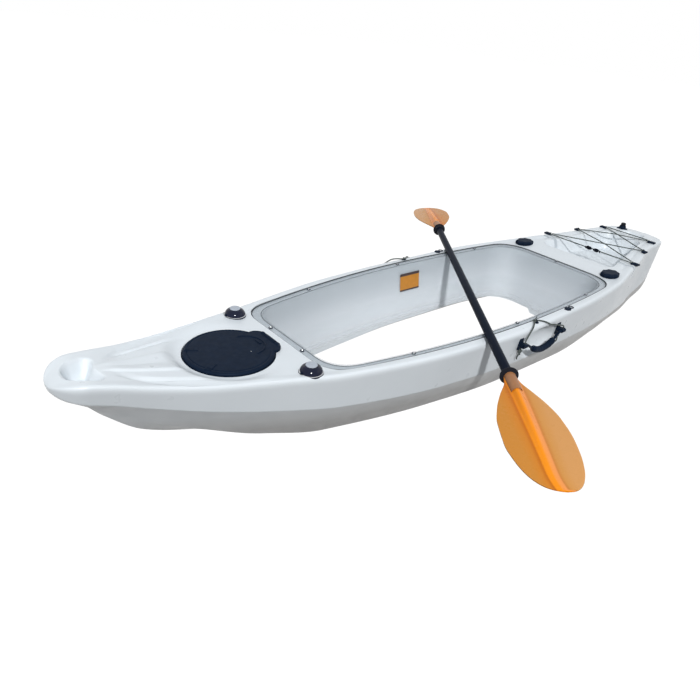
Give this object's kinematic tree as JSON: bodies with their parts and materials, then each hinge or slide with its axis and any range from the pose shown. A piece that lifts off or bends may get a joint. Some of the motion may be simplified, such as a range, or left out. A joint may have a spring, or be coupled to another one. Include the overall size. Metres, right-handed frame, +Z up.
{
  "type": "recreational kayak",
  "caption": "Sit-in kayak with a clear drop-in cockpit tub, round bow hatch, laced stern cord and a two-part paddle laid across it.",
  "frame": {"origin": "on the ground plane, on the underside of the clear floor, midway between the side flange screws", "axes": "+X to the bow, +Y to port, +Z up"},
  "size_m": [3.252, 1.9672, 0.3641],
  "materials": {
    "hull_plastic": "satin rotation-moulded plastic",
    "clear_plastic": "clear polished sheet",
    "rubber": "matt",
    "steel": "bright stainless",
    "black_plastic": "fine matt",
    "gloss_black": "glossy",
    "grey_cap": "matt",
    "elastic_cord": "woven sheath",
    "shaft_coating": "satin black coating",
    "blade_plastic": "translucent orange"
  },
  "bodies": {
    "hull": {"hull_bow": "hull_plastic", "hull_port": "hull_plastic", "hull_starboard": "hull_plastic", "hull_stern": "hull_plastic", "clear_tub": "clear_plastic", "tub_seal": "rubber", "hatch_gasket": "rubber", "tub_screw_1": "steel", "tub_screw_2": "steel", "tub_screw_3": "steel", "tub_screw_4": "steel", "tub_screw_5": "steel", "tub_screw_6": "steel", "tub_screw_7": "steel", "tub_screw_8": "steel", "tub_screw_9": "steel", "hatch_hinge_pin": "steel", "hatch_ring": "black_plastic", "rod_holder_port": "black_plastic", "rod_holder_starboard": "black_plastic", "pad_eye_port": "black_plastic", "pad_eye_starboard": "black_plastic", "handle_lug_port_fore": "black_plastic", "handle_lug_port_aft": "black_plastic", "handle_lug_starboard_fore": "black_plastic", "handle_lug_starboard_aft": "black_plastic", "park_eye_port": "black_plastic", "park_eye_starboard": "black_plastic", "deck_anchor_1": "black_plastic", "deck_anchor_2": "black_plastic", "deck_anchor_3": "black_plastic", "deck_anchor_4": "black_plastic", "deck_anchor_5": "black_plastic", "deck_anchor_6": "black_plastic", "cord_connector": "black_plastic", "drain_plug_body": "black_plastic", "socket_base_port": "gloss_black", "socket_base_starboard": "gloss_black", "deck_cord": "elastic_cord", "park_cord_port": "elastic_cord", "park_cord_starboard": "elastic_cord"},
    "hatch_lid": {"hatch_lid": "black_plastic"},
    "hatch_latch_port": {"hatch_latch_port": "black_plastic"},
    "socket_cap_port": {"socket_cap_port": "grey_cap"},
    "socket_button_port": {"socket_button_port": "black_plastic"},
    "rod_holder_cap_port": {"rod_holder_cap_port": "black_plastic"},
    "carry_handle_port": {"carry_handle_port": "black_plastic"},
    "hatch_latch_starboard": {"hatch_latch_starboard": "black_plastic"},
    "socket_cap_starboard": {"socket_cap_starboard": "grey_cap"},
    "socket_button_starboard": {"socket_button_starboard": "black_plastic"},
    "rod_holder_cap_starboard": {"rod_holder_cap_starboard": "black_plastic"},
    "carry_handle_starboard": {"carry_handle_starboard": "black_plastic"},
    "drain_plug_knob": {"drain_plug_knob": "black_plastic"},
    "paddle": {"paddle_shaft_starboard": "shaft_coating", "paddle_blade_starboard": "blade_plastic", "drip_ring_starboard": "rubber", "paddle_ferrule": "steel"},
    "paddle_port_half": {"paddle_shaft_port": "shaft_coating", "paddle_blade_port": "blade_plastic", "drip_ring_port": "rubber"}
  },
  "joints": [
    {"name": "hatch_lid_hinge", "type": "hinge", "parent": "hull", "child": "hatch_lid", "pos_m": [0.902, 0, 0.2915], "axis": [0, -1, 0], "range_deg": [0, 110]},
    {"name": "hatch_latch_port_flip", "type": "hinge", "parent": "hatch_lid", "child": "hatch_latch_port", "pos_m": [1.13087, 0.04928, 0.2936], "axis": [0.5299, -0.848, 0], "range_deg": [0, 60]},
    {"name": "hatch_latch_starboard_flip", "type": "hinge", "parent": "hatch_lid", "child": "hatch_latch_starboard", "pos_m": [1.13087, -0.04928, 0.2936], "axis": [-0.5299, -0.848, 0], "range_deg": [0, 60]},
    {"name": "socket_cap_port_lift", "type": "slide", "parent": "hull", "child": "socket_cap_port", "axis": [0, 0, 1], "range_m": [0, 0.03]},
    {"name": "socket_button_port_press", "type": "slide", "parent": "hull", "child": "socket_button_port", "axis": [-1, 0, 0], "range_m": [0, 0.003], "stiffness_N_per_m": 300},
    {"name": "rod_holder_cap_port_lift", "type": "slide", "parent": "hull", "child": "rod_holder_cap_port", "axis": [0, 0.309, 0.9511], "range_m": [0, 0.04]},
    {"name": "carry_handle_port_swing", "type": "hinge", "parent": "hull", "child": "carry_handle_port", "pos_m": [-0.098, 0.403, 0.218], "axis": [1, 0, 0], "range_deg": [0, 90]},
    {"name": "socket_cap_starboard_lift", "type": "slide", "parent": "hull", "child": "socket_cap_starboard", "axis": [0, 0, 1], "range_m": [0, 0.03]},
    {"name": "socket_button_starboard_press", "type": "slide", "parent": "hull", "child": "socket_button_starboard", "axis": [-1, 0, 0], "range_m": [0, 0.003], "stiffness_N_per_m": 300},
    {"name": "rod_holder_cap_starboard_lift", "type": "slide", "parent": "hull", "child": "rod_holder_cap_starboard", "axis": [0, -0.309, 0.9511], "range_m": [0, 0.04]},
    {"name": "carry_handle_starboard_swing", "type": "hinge", "parent": "hull", "child": "carry_handle_starboard", "pos_m": [-0.098, -0.403, 0.218], "axis": [-1, 0, 0], "range_deg": [0, 90]},
    {"name": "drain_knob_turn", "type": "hinge", "parent": "hull", "child": "drain_plug_knob", "pos_m": [-1.598, -0.088, 0.3261], "axis": [0, 0, 1], "continuous": true},
    {"name": "paddle_lift", "type": "slide", "parent": "hull", "child": "paddle", "axis": [0, 0, 1], "range_m": [0, 0.3]},
    {"name": "paddle_feather", "type": "hinge", "parent": "paddle", "child": "paddle_port_half", "pos_m": [-0.07686, 0.00156, 0.29273], "axis": [0.6288, 0.7775, -0.0027], "range_deg": [-60, 60]}
  ]
}
